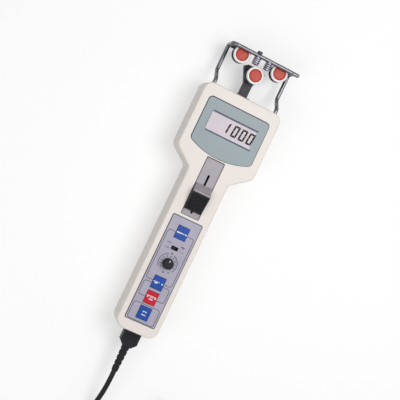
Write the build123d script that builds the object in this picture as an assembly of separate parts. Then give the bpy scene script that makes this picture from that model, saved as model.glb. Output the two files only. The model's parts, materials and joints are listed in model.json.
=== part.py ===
from build123d import *
from math import radians, tan
import os

# Hand-held three-roller tension meter, in millimetres. It lies on its back: +X is to the
# right across the display, +Y runs up the body to the rollers and +Z stands out of the face.

# Housing outline
BODY_LENGTH = 247.0
HEAD_WIDTH = 82.0
HEAD_SIDE = 67.5
NECK_DROP = 14.5
HANDLE_WIDTH = 43.0
TOP_CORNER_R = 8.5
SHOULDER_R = 9.0
NECK_R = 6.0
END_CORNER_R = 9.5

# Housing section
CASE_DEPTH = 36.0
SPLIT_Z = 18.0
SIDE_WALL = 2.5
REAR_WALL = 2.5
FRONT_WALL = 3.0
BACK_ROUND = 8.0
FRONT_ROUND = 1.6
SEAM_BEVEL = 0.35

# Running and seating gaps
SEAT_GAP = 0.15
FIT_GAP = 0.02
SHAFT_GAP = 0.05
MOVE_GAP = 0.4

# Display: distances down from the head's top edge
PANEL_TOP = 12.0
PANEL_SIDE_END = 56.3
PANEL_BOW_END = 64.0
PANEL_TOP_WIDTH = 62.5
PANEL_LOW_WIDTH = 64.5
PANEL_CORNER_R = 4.0
PANEL_THICK = 1.0
LCD_DOWN = 33.4
LCD_VIEW_X = 46.0
LCD_VIEW_Y = 16.6
LCD_FRAME_X = 53.0
LCD_FRAME_Y = 27.0
LCD_FRAME_Z = 4.0
LCD_SUNK = 0.5
BOARD_THICK = 1.6
DISPLAY_BOARD_X = 55.0
DISPLAY_BOARD_Y = 40.0
DISPLAY_POST_R = 2.4
DISPLAY_POST_Y = 17.0

# Thumb slider channel
CHANNEL_TOP = 65.8
CHANNEL_WIDTH = 18.3
CHANNEL_LENGTH = 59.0
CHANNEL_DEPTH = 2.0
CHANNEL_PLATE_THICK = 0.8
SLOT_TOP = 81.0
SLOT_LENGTH = 40.5
SLOT_WIDTH = 2.2
UNDER_SLOT_WIDTH = 5.0
TRAVEL = 12.0
SLIDER_LIFT = 0.3
SLIDER_TOP = 92.0
RAMP_EDGE = 0.5
RAMP_LENGTH = 6.8
RAMP_RISE = 3.2
SLIDER_PLATE_LENGTH = 27.0
SLIDER_PLATE_THICK = 1.5
SLIDER_PLATE_WIDTH = 17.4
GRIP_HEIGHT = 5.8
GRIP_ROUND = 0.8
GRIP_RIB_COUNT = 5
GRIP_RIB_PITCH = 3.0
GRIP_RIB_DEPTH = 0.9
GRIP_GROOVE = 1.1
GRIP_GROOVE_SHIFT = 1.0
LINK_WIDTH = 12.0
LINK_THICK = 2.0
LINK_Z = 20.0
BLADE_THICK = 1.6
BLADE_TOP = 99.0
BLADE_LENGTH = 18.0

# Keypad: distances down from the head's top edge
KEYPAD_TOP = 127.8
KEYPAD_WIDTH = 31.2
KEYPAD_LENGTH = 108.4
KEYPAD_CORNER_R = 1.5
KEYPAD_PANEL_THICK = 1.0
KEYPAD_POCKET = 0.8
KEY_DOWN = {"upper_key": 142.0, "middle_key": 194.4, "red_key": 210.0, "lower_key": 226.0}
KEY_X = 11.7
KEY_Y = 12.8
KEY_PROUD = 0.9
KEY_ROUND = 0.5
KEY_FLANGE = 0.9
KEY_FLANGE_THICK = 0.8
KEY_TRAVEL = 0.6
KEY_SIDE_GAP = 0.25
KEYPAD_BOARD_X = 32.0
KEYPAD_BOARD_Y = 106.0
KEYPAD_BOARD_TOP = 29.0
KEYPAD_POST_R = 2.0
KEYPAD_POST_X = 13.0
KEYPAD_POST_INSET = 3.0
SWITCH_DOWN = 158.0
SWITCH_X = 10.0
SWITCH_Y = 5.0
SWITCH_Z = 2.8
LEVER_X = 3.4
LEVER_Y = 2.2
LEVER_BASE_X = 6.4
LEVER_BASE_Y = 4.0
LEVER_BASE_Z = 0.8
LEVER_TRAVEL = 3.0
LEVER_PROUD = 1.2
KNOB_DOWN = 173.7
KNOB_R = 5.3
KNOB_HEIGHT = 6.4
KNOB_ROUND = 1.4
KNOB_SKIRT = 1.2
KNOB_FLUTES = 12
KNOB_FLUTE_R = 0.55
KNOB_MARK = 0.8
KNOB_SHAFT_R = 1.5
POT_SIZE = 9.4
POT_Z = 3.8

# Rollers: distances up from the head's top edge
ROLLER_R = 8.5
ROLLER_WIDTH = 9.5
ROLLER_FRONT_Z = 30.0
OUTER_ROLLER_X = 20.5
OUTER_ROLLER_UP = 36.3
CENTRE_ROLLER_UP = 24.0
GROOVE_R = 6.0
FLANGE_THICK = 1.4
GROOVE_FLOOR = 2.4
RING_THICK = 2.0
RING_INNER_R = 6.5
CAP_DOME = 0.5
BEARING_R = 4.0
BEARING_WIDTH = 5.0
AXLE_R = 1.5
AXLE_SHOULDER_R = 2.5

# Guard frame
ROD_R = 2.0
LEG_X = 33.3
LEG_Z = 29.4
REAR_LEG_Z = 13.0
JOG_LOW = 4.3
JOG_HIGH = 14.7
CROSSBAR_UP = 41.8
CROSSBAR_Z = 33.5
ROD_BEND_R = 4.0
BUSH_R = 3.2
BUSH_BOSS_X = 10.4
BUSH_TOP = 0.6
BUSH_LENGTH = 6.4
BRACKET_THICK = 4.0
BRACKET_R = 4.4
BRACKET_ARM = 6.0
POST_R = 2.3
POST_X = 6.2
POST_UP = 32.6
POST_RIBS = 4
POST_RIB_DEPTH = 0.5
NUT_R = 2.5
NUT_HEIGHT = 2.2
YOKE_DOWN = 34.0
YOKE_Y = 6.0
YOKE_Z = 19.2
YOKE_THICK = 4.8
YOKE_END_X = 8.0
SPRING_WIRE_R = 0.5
SPRING_R = 2.85
SPRING_TURNS = 6

# Measuring arm and its springs
ARM_WIDTH = 9.2
ARM_THICK = 5.0
ARM_Z = 11.5
ARM_BOSS_R = 8.3
ARM_FOOT_DOWN = 28.0
ARM_TRAVEL = 0.8
COLLAR_X = 14.5
COLLAR_Z = 9.0
COLLAR_Y = 2.4
ARM_SLOT_GAP = 0.6
LEAF_THICK = 0.5
LEAF_Z = 7.0
LEAF_DOWN = (14.0, 26.0)
SPRING_BLOCK_X = 8.0
SPRING_BLOCK_Y = 17.0
SPRING_BLOCK_DOWN = 11.5
LEAF_LENGTH = 11.4
SENSOR_X = 10.0
SENSOR_Y = 10.0
SENSOR_TOP = 16.0
SENSOR_GAP = 1.6

# Battery bay
CELL_R = 7.25
CELL_LENGTH = 50.0
CELL_NUB_R = 2.7
CELL_NUB = 1.0
CELL_FLOOR_GAP = 0.55
CELLS_TOP = 133.0
COVER_X = 28.0
COVER_TOP = 124.0
COVER_LENGTH = 112.0
COVER_GAP = 0.25
COVER_LIP_X = 16.0
COVER_LIP_Y = 3.0
COVER_LIP_Z = 1.6
BRIDGE_DOWN = 129.0
BRIDGE_Y = 7.0
BRIDGE_Z = 6.0
MAIN_BOARD_X = 30.0
MAIN_BOARD_Y = 96.0
MAIN_BOARD_Z = 19.6
HEADER_X = 16.0
HEADER_Y = 5.0

# Fasteners
PILLAR_R = 4.2
FRONT_BOSS_R = 3.2
SCREW_HEAD_R = 2.8
SCREW_HEAD_Z = 2.0
SCREW_SEAT_Z = 6.0
SCREW_R = 1.4
SCREW_LENGTH = 20.0
SCREW_HOLE_GAP = 0.1
SCREW_SLOT = 0.7
CASE_SCREW_SPOTS = ((20.0, 7.0), (29.0, 59.5), (14.3, 92.0))

# Cord: its plug, boot, lead, coil and far plug
PLUG_X = 1.5
PLUG_Z = 20.0
PLUG_WIDTH = 17.5
PLUG_HEIGHT = 11.0
PLUG_LENGTH = 17.2
PLUG_CHAMFER = 4.6
PLUG_ROUND = 1.0
PLUG_GRIP_BARS = 2
PLUG_BAR_PITCH = 3.4
PLUG_BAR_Y = 1.5
PLUG_BAR_DEPTH = 0.8
NOSE_X = 12.4
NOSE_Z = 5.6
NOSE_Y = 6.0
SOCKET_X = 16.0
SOCKET_Z = 9.0
SOCKET_Y = 9.0
SOCKET_WALL = 1.5
BOOT_R = 4.1
BOOT_END_R = 3.2
BOOT_LENGTH = 26.0
BOOT_RINGS = 4
BOOT_RING_DEPTH = 0.7
BOOT_FIRST_RING = 0.7
CORD_R = 2.5
ROUTE_SHARE = 0.45
COIL_SIDE = 24.0
COIL_AWAY = 110.0
COIL_INNER_R = 18.5
COIL_OUTER_R = 33.5
COIL_LOW_Z = 1.0
COIL_HIGH_Z = 16.0
COIL_ROUND = 2.2
TIE_THICK = 0.8
TIE_WIDTH = 12.0
FAR_GRIP_R = 7.5
FAR_GRIP_LENGTH = 27.0
FAR_GRIP_NECK_R = 3.6
FAR_SHELL_R = 6.2
FAR_SHELL_WALL = 0.7
FAR_SHELL_LENGTH = 10.0
ROUTE_FROM_BOOT = (
    (0.0, 0.0, PLUG_Z), (0.0, -16.0, PLUG_Z), (-0.7, -33.0, 13.6), (-2.1, -51.0, 5.6),
    (-4.1, -71.0, 2.8), (-6.3, -91.0, 3.1), (-7.0, -110.0, 3.5),
)
TAIL_FROM_COIL = (
    (31.0, 0.0, 13.5), (31.4, 14.0, 12.6), (32.9, 29.0, 9.4), (34.6, 43.0, 7.6), (34.6, 56.0, 7.6),
)

# Places worked out from the sizes above
GUARD_REACH = CROSSBAR_UP + ROD_R + NUT_HEIGHT
HEAD_TOP = (BODY_LENGTH - GUARD_REACH) / 2
HANDLE_END = HEAD_TOP - BODY_LENGTH
FRONT_INNER_Z = CASE_DEPTH - FRONT_WALL
ROLLER_BACK_Z = ROLLER_FRONT_Z - ROLLER_WIDTH
CHANNEL_FLOOR_Z = CASE_DEPTH - CHANNEL_DEPTH
SLIDER_Z = CHANNEL_FLOOR_Z + CHANNEL_PLATE_THICK + SLIDER_LIFT
NECK_DOWN = HEAD_SIDE + NECK_DROP
ARM_TOP_Z = ARM_Z + ARM_THICK
SPRING_TOP = BUSH_TOP + BUSH_LENGTH
CORD_START = HANDLE_END - PLUG_LENGTH - BOOT_LENGTH
COIL_X = PLUG_X + COIL_SIDE
COIL_Y = CORD_START - COIL_AWAY
ROUTE = [(PLUG_X + x, CORD_START + y, z) for x, y, z in ROUTE_FROM_BOOT]
TAIL = [(COIL_X + x, COIL_Y + y, z) for x, y, z in TAIL_FROM_COIL]


def block(width, length, height, x=0.0, y=0.0, z=0.0):
    """A box centred on x and y that stands on z."""
    return Pos(x, y, z) * Box(width, length, height, align=(Align.CENTER, Align.CENTER, Align.MIN))


def post(radius, height, x=0.0, y=0.0, z=0.0):
    """A round post along Z that stands on z."""
    return Pos(x, y, z) * Cylinder(radius, height, align=(Align.CENTER, Align.CENTER, Align.MIN))


def rod_y(radius, length, x, y, z):
    """A round rod along Y that starts at y and runs up."""
    return Pos(x, y, z) * Rot(-90, 0, 0) * post(radius, length)


def turned(profile):
    """A solid turned about Z from (radius, height) corners."""
    return revolve(Plane.XZ * make_face(Polyline(*profile, close=True)), Axis.Z)


def mirrored(spots):
    """Each (x, down) spot on both sides, as part coordinates."""
    return [(side * x, HEAD_TOP - down) for x, down in spots for side in (-1, 1)]


def rounded(sketch, radius, low, high):
    """Rounds the sketch corners whose Y lies between low and high."""
    corners = [v for v in sketch.vertices() if low <= v.Y <= high]
    return fillet(corners, radius)


def outline():
    """The housing seen from the front: head, bevelled neck and handle."""
    head, handle = HEAD_WIDTH / 2, HANDLE_WIDTH / 2
    right = [(head, HEAD_TOP), (head, HEAD_TOP - HEAD_SIDE), (handle, HEAD_TOP - NECK_DOWN), (handle, HANDLE_END)]
    left = [(-x, y) for x, y in reversed(right)]
    face = make_face(Polyline(*right, *left, close=True))
    for radius, down in (
        (TOP_CORNER_R, 0.0), (SHOULDER_R, HEAD_SIDE), (NECK_R, NECK_DOWN), (END_CORNER_R, BODY_LENGTH),
    ):
        face = rounded(face, radius, HEAD_TOP - down - 1, HEAD_TOP - down + 1)
    return face


def housing_block():
    """The outer form of both shells, with its rounded back and softened front edge."""
    body = extrude(outline(), CASE_DEPTH)
    body = fillet(body.edges().group_by(Axis.Z)[0], BACK_ROUND)
    return fillet(body.edges().group_by(Axis.Z)[-1], FRONT_ROUND)


def housing_cavity():
    """The space inside both shells."""
    inner = extrude(Pos(0, 0, REAR_WALL) * offset(outline(), -SIDE_WALL), FRONT_INNER_Z - REAR_WALL)
    return fillet(inner.edges().group_by(Axis.Z)[0], BACK_ROUND - SIDE_WALL)


def slab(low, high):
    """Everything between two heights."""
    return block(HEAD_WIDTH * 2, BODY_LENGTH * 2, high - low, z=low)


def bevel_seam(shell):
    """A fine bevel along the outer edge of the seam."""
    seam = [e for e in shell.edges() if abs(e.center().Z - SPLIT_Z) < 0.01 and e.bounding_box().size.Z < 0.01]
    side = HEAD_WIDTH / 2 - SIDE_WALL / 2
    outer = [e for e in seam if abs(e.center().X) > side or on_outline(e)]
    return chamfer(outer, SEAM_BEVEL)


def on_outline(edge):
    """True for a seam edge that lies on the housing's outline."""
    middle = edge.position_at(0.5)
    near = Vertex(middle.X, middle.Y, 0)
    return min(near.distance_to(e) for e in outline().edges()) < 0.01


def display_outline(grow=0.0):
    """The display panel's outline, with its bowed lower edge."""
    top = HEAD_TOP - PANEL_TOP
    low = HEAD_TOP - PANEL_SIDE_END
    a, b = PANEL_TOP_WIDTH / 2, PANEL_LOW_WIDTH / 2
    edges = Polyline((-b, low), (-a, top), (a, top), (b, low))
    bow = ThreePointArc((b, low), (0, HEAD_TOP - PANEL_BOW_END), (-b, low))
    face = make_face(Curve() + [edges, bow])
    face = fillet(face.vertices(), PANEL_CORNER_R)
    return offset(face, grow) if grow else face


def display_window_cut():
    """The LCD's window through the front wall and the panel."""
    return block(LCD_VIEW_X, LCD_VIEW_Y, CASE_DEPTH, y=HEAD_TOP - LCD_DOWN)


def keypad_outline(grow=0.0):
    """The keypad panel's outline."""
    face = RectangleRounded(KEYPAD_WIDTH + 2 * grow, KEYPAD_LENGTH + 2 * grow, KEYPAD_CORNER_R)
    return Pos(0, HEAD_TOP - KEYPAD_TOP - KEYPAD_LENGTH / 2) * face


def keypad_holes():
    """The holes for the keys, the switch lever and the knob's shaft."""
    holes = [
        block(KEY_X + 2 * KEY_SIDE_GAP, KEY_Y + 2 * KEY_SIDE_GAP, CASE_DEPTH, y=HEAD_TOP - down, z=FRONT_INNER_Z - 1)
        for down in KEY_DOWN.values()
    ]
    slot_x = LEVER_X + LEVER_TRAVEL + 2 * MOVE_GAP
    holes.append(block(slot_x, LEVER_Y + 2 * MOVE_GAP, CASE_DEPTH, y=HEAD_TOP - SWITCH_DOWN, z=FRONT_INNER_Z - 1))
    holes.append(post(KNOB_SHAFT_R + MOVE_GAP, CASE_DEPTH, y=HEAD_TOP - KNOB_DOWN, z=FRONT_INNER_Z - 1))
    return holes


def channel_outline(grow=0.0):
    """The thumb slider's channel seen from the front."""
    face = RectangleRounded(CHANNEL_WIDTH + 2 * grow, CHANNEL_LENGTH + 2 * grow, 0.8)
    return Pos(0, HEAD_TOP - CHANNEL_TOP - CHANNEL_LENGTH / 2) * face


def socket_cut():
    """The socket's hole in the end wall."""
    y = HANDLE_END + SOCKET_Y / 2
    width, height = SOCKET_X + 2 * SEAT_GAP, SOCKET_Z + 2 * SEAT_GAP
    return block(width, SOCKET_Y + 2, height, PLUG_X, y - 1, PLUG_Z - height / 2)


def display_posts():
    """Centres of the posts that hold the display board."""
    x = DISPLAY_BOARD_X / 2 - DISPLAY_POST_R
    return [(sx * x, HEAD_TOP - LCD_DOWN + sy * DISPLAY_POST_Y) for sx in (-1, 1) for sy in (-1, 1)]


def keypad_posts():
    """Centres of the posts that hold the keypad board."""
    middle = HEAD_TOP - KEYPAD_TOP - KEYPAD_LENGTH / 2
    y = KEYPAD_BOARD_Y / 2 - KEYPAD_POST_INSET
    return [(sx * KEYPAD_POST_X, middle + sy * y) for sx in (-1, 1) for sy in (-1, 1)]


def front_case():
    """The front shell with its pockets, holes, posts and bush bosses."""
    cavity = housing_cavity()
    shell = (housing_block() & slab(SPLIT_Z, CASE_DEPTH + 1)) - cavity
    for x, y in mirrored(CASE_SCREW_SPOTS):
        shell += post(FRONT_BOSS_R, FRONT_INNER_Z - SPLIT_Z, x, y, SPLIT_Z) & cavity
        shell -= post(SCREW_R + SCREW_HOLE_GAP, SCREW_LENGTH, x, y, SCREW_SEAT_Z)
    lcd_z = FRONT_INNER_Z - LCD_FRAME_Z
    for x, y in display_posts():
        shell += post(DISPLAY_POST_R, LCD_FRAME_Z, x, y, lcd_z)
    for x, y in keypad_posts():
        shell += post(KEYPAD_POST_R, FRONT_INNER_Z - KEYPAD_BOARD_TOP, x, y, KEYPAD_BOARD_TOP)
    boss_y, boss_z = HEAD_TOP - SPRING_TOP / 2, LEG_Z - BUSH_R - 1
    for x in (-LEG_X, LEG_X):
        shell += block(BUSH_BOSS_X, SPRING_TOP, FRONT_INNER_Z - boss_z, x, boss_y, boss_z) & cavity
        shell -= rod_y(BUSH_R + FIT_GAP, SPRING_TOP + 1, x, HEAD_TOP - SPRING_TOP, LEG_Z)
    shell -= extrude(Pos(0, 0, CASE_DEPTH - PANEL_THICK) * display_outline(SEAT_GAP), PANEL_THICK + 1)
    shell -= display_window_cut()
    shell -= extrude(Pos(0, 0, CHANNEL_FLOOR_Z) * channel_outline(), CHANNEL_DEPTH + 1)
    slot_y = HEAD_TOP - SLOT_TOP - SLOT_LENGTH / 2
    shell -= block(UNDER_SLOT_WIDTH, SLOT_LENGTH + 2, FRONT_WALL, y=slot_y, z=FRONT_INNER_Z - 1)
    shell -= extrude(Pos(0, 0, CASE_DEPTH - KEYPAD_POCKET) * keypad_outline(SEAT_GAP), KEYPAD_POCKET + 1)
    shell -= keypad_holes()
    shell -= socket_cut()
    return bevel_seam(shell)


def battery_opening(gap=0.0):
    """The space that the battery cover takes out of the rear shell."""
    length = COVER_LENGTH + 2 * gap
    y = HEAD_TOP - COVER_TOP - COVER_LENGTH / 2
    return block(COVER_X + 2 * gap, length, 2 * REAR_WALL + 1, y=y, z=-1)


def rear_case():
    """The rear shell with its screw pillars, arm slot and battery opening."""
    cavity = housing_cavity()
    shell = (housing_block() & slab(-1, SPLIT_Z)) - cavity
    for x, y in mirrored(CASE_SCREW_SPOTS):
        shell += post(PILLAR_R, SPLIT_Z - REAR_WALL, x, y, REAR_WALL) & housing_block()
        shell -= post(SCREW_R + SCREW_HOLE_GAP, SPLIT_Z, x, y, 1)
        shell -= post(SCREW_HEAD_R + SEAT_GAP, SCREW_SEAT_Z + 1, x, y, -1)
    shell -= battery_opening(COVER_GAP)
    bridge_y = HEAD_TOP - BRIDGE_DOWN
    shell += block(HANDLE_WIDTH, BRIDGE_Y, BRIDGE_Z, y=bridge_y, z=REAR_WALL + COVER_GAP) & cavity
    shell -= post(SCREW_R + SCREW_HOLE_GAP, BRIDGE_Z, y=bridge_y, z=REAR_WALL)
    arm_gap = 2 * ARM_SLOT_GAP
    shell -= block(ARM_WIDTH + arm_gap, 4 * SIDE_WALL, ARM_THICK + arm_gap, y=HEAD_TOP, z=ARM_Z - ARM_SLOT_GAP)
    shell -= socket_cut()
    return bevel_seam(shell)


def battery_cover():
    """The cover that closes the battery bay, cut to the shell's own form, with its lip."""
    skin = (housing_block() - housing_cavity()) & battery_opening()
    lip_y = HEAD_TOP - COVER_TOP - COVER_LENGTH
    cover = skin + block(COVER_LIP_X, 2 * COVER_LIP_Y, COVER_LIP_Z, y=lip_y, z=REAR_WALL + FIT_GAP)
    cover += block(COVER_LIP_X, COVER_LIP_Y, 1, y=lip_y + COVER_LIP_Y / 2, z=REAR_WALL - 0.5)
    hole_y = HEAD_TOP - BRIDGE_DOWN
    cover -= post(SCREW_R + SCREW_HOLE_GAP, REAR_WALL + 1, y=hole_y, z=-0.5)
    return cover - post(SCREW_HEAD_R + SEAT_GAP, REAR_WALL / 2 + 0.5, y=hole_y, z=-0.5)


def screw(length, head_low, head_z):
    """A slotted screw with its head at the back."""
    shape = post(SCREW_HEAD_R, head_z, z=head_low) + post(SCREW_R, length, z=head_low)
    return shape - block(2 * SCREW_HEAD_R, SCREW_SLOT, head_z / 2, z=head_low)


def case_screws():
    """Six case screws and the battery cover's screw."""
    low = SCREW_SEAT_Z - SCREW_HEAD_Z
    long_screw = screw(SCREW_LENGTH, low, SCREW_HEAD_Z)
    screws = [Pos(x, y, 0) * long_screw for x, y in mirrored(CASE_SCREW_SPOTS)]
    head_z = REAR_WALL / 2 - SEAT_GAP
    screws.append(Pos(0, HEAD_TOP - BRIDGE_DOWN, SEAT_GAP) * screw(BRIDGE_Z, 0, head_z))
    return screws


def display_panel():
    """The blue-grey display plate with its window."""
    return extrude(Pos(0, 0, CASE_DEPTH - PANEL_THICK) * display_outline(), PANEL_THICK) - display_window_cut()


def lcd_module():
    """The LCD: a frame under the wall and the glass that fills the window."""
    y = HEAD_TOP - LCD_DOWN
    low = FRONT_INNER_Z - LCD_FRAME_Z
    frame = block(LCD_FRAME_X, LCD_FRAME_Y, LCD_FRAME_Z, y=y, z=low)
    glass_z = CASE_DEPTH - LCD_SUNK - low
    return frame + block(LCD_VIEW_X - 2 * SEAT_GAP, LCD_VIEW_Y - 2 * SEAT_GAP, glass_z, y=y, z=low)


def display_board():
    """The board behind the LCD."""
    z = FRONT_INNER_Z - LCD_FRAME_Z - BOARD_THICK
    return block(DISPLAY_BOARD_X, DISPLAY_BOARD_Y, BOARD_THICK, y=HEAD_TOP - LCD_DOWN, z=z)


def keypad_panel():
    """The lilac-grey keypad plate."""
    plate = extrude(Pos(0, 0, CASE_DEPTH - KEYPAD_POCKET) * keypad_outline(), KEYPAD_PANEL_THICK)
    return plate - keypad_holes()


def keypad_board():
    """The board under the keys."""
    y = HEAD_TOP - KEYPAD_TOP - KEYPAD_LENGTH / 2
    return block(KEYPAD_BOARD_X, KEYPAD_BOARD_Y, BOARD_THICK, y=y, z=KEYPAD_BOARD_TOP - BOARD_THICK)


def main_board():
    """The main board with the header that plugs it to the keypad board."""
    y = HEAD_TOP - KEYPAD_TOP - KEYPAD_LENGTH / 2
    board = block(MAIN_BOARD_X, MAIN_BOARD_Y, BOARD_THICK, y=y, z=MAIN_BOARD_Z)
    header_z = KEYPAD_BOARD_TOP - BOARD_THICK - MAIN_BOARD_Z
    return board + block(HEADER_X, HEADER_Y, header_z, y=y + MAIN_BOARD_Y / 3, z=MAIN_BOARD_Z)


def key(down):
    """A push key: cap, retaining flange and stem."""
    top = CASE_DEPTH - KEYPAD_POCKET + KEYPAD_PANEL_THICK + KEY_PROUD
    low = KEYPAD_BOARD_TOP + KEY_TRAVEL + 0.1
    y = HEAD_TOP - down
    flange_z = FRONT_INNER_Z - KEY_TRAVEL - KEY_FLANGE_THICK
    cap = block(KEY_X, KEY_Y, top - flange_z, y=y, z=flange_z)
    cap = fillet(cap.edges().group_by(Axis.Z)[-1], KEY_ROUND)
    cap += block(KEY_X + 2 * KEY_FLANGE, KEY_Y + 2 * KEY_FLANGE, KEY_FLANGE_THICK, y=y, z=flange_z)
    return cap + post(KEY_X / 4, flange_z - low, y=y, z=low)


def mode_switch():
    """The slide switch's lever, at the left end of its travel."""
    x = -LEVER_TRAVEL / 2
    y = HEAD_TOP - SWITCH_DOWN
    base_z = KEYPAD_BOARD_TOP + SWITCH_Z + 0.1
    top = CASE_DEPTH - KEYPAD_POCKET + KEYPAD_PANEL_THICK + LEVER_PROUD
    lever = block(LEVER_BASE_X, LEVER_BASE_Y, LEVER_BASE_Z, x, y, base_z)
    neck = block(LEVER_X, LEVER_Y, top - base_z, x, y, base_z)
    return lever + chamfer(neck.edges().group_by(Axis.Z)[-1], LEVER_Y / 6)


def switch_body():
    """The slide switch's body on the keypad board."""
    return block(SWITCH_X, SWITCH_Y, SWITCH_Z, y=HEAD_TOP - SWITCH_DOWN, z=KEYPAD_BOARD_TOP)


def potentiometer():
    """The potentiometer that the knob turns, with its shaft bore."""
    y = HEAD_TOP - KNOB_DOWN
    body = block(POT_SIZE, POT_SIZE, POT_Z, y=y, z=KEYPAD_BOARD_TOP)
    return body - post(KNOB_SHAFT_R + SHAFT_GAP, POT_Z, y=y, z=KEYPAD_BOARD_TOP)


def adjust_knob():
    """The fluted knob with its pointer mark and its shaft."""
    y = HEAD_TOP - KNOB_DOWN
    low = CASE_DEPTH - KEYPAD_POCKET + KEYPAD_PANEL_THICK + MOVE_GAP
    body = post(KNOB_R, KNOB_HEIGHT, z=low)
    body = fillet(body.edges().group_by(Axis.Z)[-1], KNOB_ROUND)
    flute = post(KNOB_FLUTE_R, KNOB_HEIGHT, KNOB_R, 0, low + KNOB_SKIRT)
    body -= [Rot(0, 0, 360 / KNOB_FLUTES * (i + 0.5)) * flute for i in range(KNOB_FLUTES)]
    body -= block(KNOB_MARK, KNOB_R, KNOB_MARK, y=KNOB_R / 2, z=low + KNOB_HEIGHT - KNOB_MARK / 2)
    shaft_low = KEYPAD_BOARD_TOP + 0.3
    return Pos(0, y, 0) * (body + post(KNOB_SHAFT_R, low + 1 - shaft_low, z=shaft_low))


def slider_channel_plate():
    """The channel plate with the slot that the slider's link runs in."""
    plate = extrude(Pos(0, 0, CHANNEL_FLOOR_Z) * channel_outline(-SEAT_GAP), CHANNEL_PLATE_THICK)
    slot = SlotOverall(SLOT_LENGTH, SLOT_WIDTH, rotation=90)
    y = HEAD_TOP - SLOT_TOP - SLOT_LENGTH / 2
    return plate - extrude(Pos(0, y, CHANNEL_FLOOR_Z - 1) * slot, CHANNEL_PLATE_THICK + 2)


def slider_plate():
    """The metal plate of the thumb slider, with the ramp at its upper end."""
    top = HEAD_TOP - SLIDER_TOP
    high = SLIDER_Z + SLIDER_PLATE_THICK
    side = (
        (top, SLIDER_Z), (top, SLIDER_Z + RAMP_EDGE), (top - RAMP_LENGTH, high + RAMP_RISE),
        (top - RAMP_LENGTH, high), (top - SLIDER_PLATE_LENGTH, high), (top - SLIDER_PLATE_LENGTH, SLIDER_Z),
    )
    face = Plane.YZ * make_face(Polyline(*side, close=True))
    return extrude(face, SLIDER_PLATE_WIDTH / 2, both=True)


def thumb_grip():
    """The ribbed grip on the slider plate."""
    length = SLIDER_PLATE_LENGTH - RAMP_LENGTH
    y = HEAD_TOP - SLIDER_TOP - RAMP_LENGTH - length / 2
    low = SLIDER_Z + SLIDER_PLATE_THICK
    groove_z = low + GRIP_HEIGHT - GRIP_RIB_DEPTH
    grip = block(SLIDER_PLATE_WIDTH, length, GRIP_HEIGHT, y=y, z=low)
    upper = grip.faces().sort_by(Axis.Y)[-1].edges().sort_by(Axis.Z)[-1]
    grip = chamfer(upper, GRIP_HEIGHT / 3)
    grip = fillet(grip.faces().sort_by(Axis.Z)[-1].edges(), GRIP_ROUND)
    for i in range(GRIP_RIB_COUNT):
        groove_y = y + (i - (GRIP_RIB_COUNT - 1) / 2) * GRIP_RIB_PITCH - GRIP_GROOVE_SHIFT
        grip -= block(SLIDER_PLATE_WIDTH + 1, GRIP_GROOVE, GRIP_RIB_DEPTH + 1, y=groove_y, z=groove_z)
    return grip


def lift_link():
    """The strip from the yoke to the slider, with the blade that passes the slot."""
    top = YOKE_DOWN + YOKE_Y
    length = BLADE_TOP + BLADE_LENGTH - top
    strip = block(LINK_WIDTH, length, LINK_THICK, y=HEAD_TOP - top - length / 2, z=LINK_Z)
    blade_y = HEAD_TOP - BLADE_TOP - BLADE_LENGTH / 2
    return strip + block(BLADE_THICK, BLADE_LENGTH, SLIDER_Z - LINK_Z, y=blade_y, z=LINK_Z)


def carriage_yoke():
    """The bar that joins the guard's legs inside the head."""
    y = HEAD_TOP - YOKE_DOWN - YOKE_Y / 2
    bar = block(2 * LEG_X + YOKE_END_X, YOKE_Y, YOKE_THICK, y=y, z=YOKE_Z)
    for side in (-1, 1):
        bar += block(YOKE_END_X, YOKE_Y, LEG_Z + BUSH_R - YOKE_Z, side * LEG_X, y, YOKE_Z)
        bar -= rod_y(ROD_R, YOKE_Y + 2, side * LEG_X, y - YOKE_Y / 2 - 1, LEG_Z)
    return bar


def guard_frame():
    """The bent rod: two jogged legs and the crossbar in front of the rollers."""
    foot = HEAD_TOP - YOKE_DOWN - YOKE_Y
    top = HEAD_TOP + CROSSBAR_UP
    half = [
        (LEG_X, foot, LEG_Z), (LEG_X, HEAD_TOP + JOG_LOW, LEG_Z), (LEG_X, HEAD_TOP + JOG_HIGH, REAR_LEG_Z),
        (LEG_X, top, REAR_LEG_Z), (LEG_X, top, CROSSBAR_Z),
    ]
    path = FilletPolyline(*half, *[(-x, y, z) for x, y, z in reversed(half)], radius=ROD_BEND_R)
    section = Plane(origin=half[0], z_dir=(0, 1, 0)) * Circle(ROD_R)
    return sweep(section, path=path)


def guide_bushes():
    """The two bushes that guide the guard's legs."""
    low = HEAD_TOP - SPRING_TOP
    bushes = []
    for side in (-1, 1):
        bush = rod_y(BUSH_R, BUSH_LENGTH, side * LEG_X, low, LEG_Z)
        bushes.append(bush - rod_y(ROD_R + SHAFT_GAP, BUSH_LENGTH, side * LEG_X, low, LEG_Z))
    return bushes


def return_springs():
    """The coil springs round the legs, between the bushes and the yoke."""
    low = HEAD_TOP - YOKE_DOWN + SPRING_WIRE_R
    height = YOKE_DOWN - SPRING_TOP - 2 * SPRING_WIRE_R
    coil = Helix(pitch=height / SPRING_TURNS, height=height, radius=SPRING_R)
    wire = Plane(origin=coil @ 0, z_dir=coil % 0) * RegularPolygon(SPRING_WIRE_R, 6)
    spring = sweep(wire, path=coil, is_frenet=True)
    return [Pos(side * LEG_X, low, LEG_Z) * Rot(-90, 0, 0) * spring for side in (-1, 1)]


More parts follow.
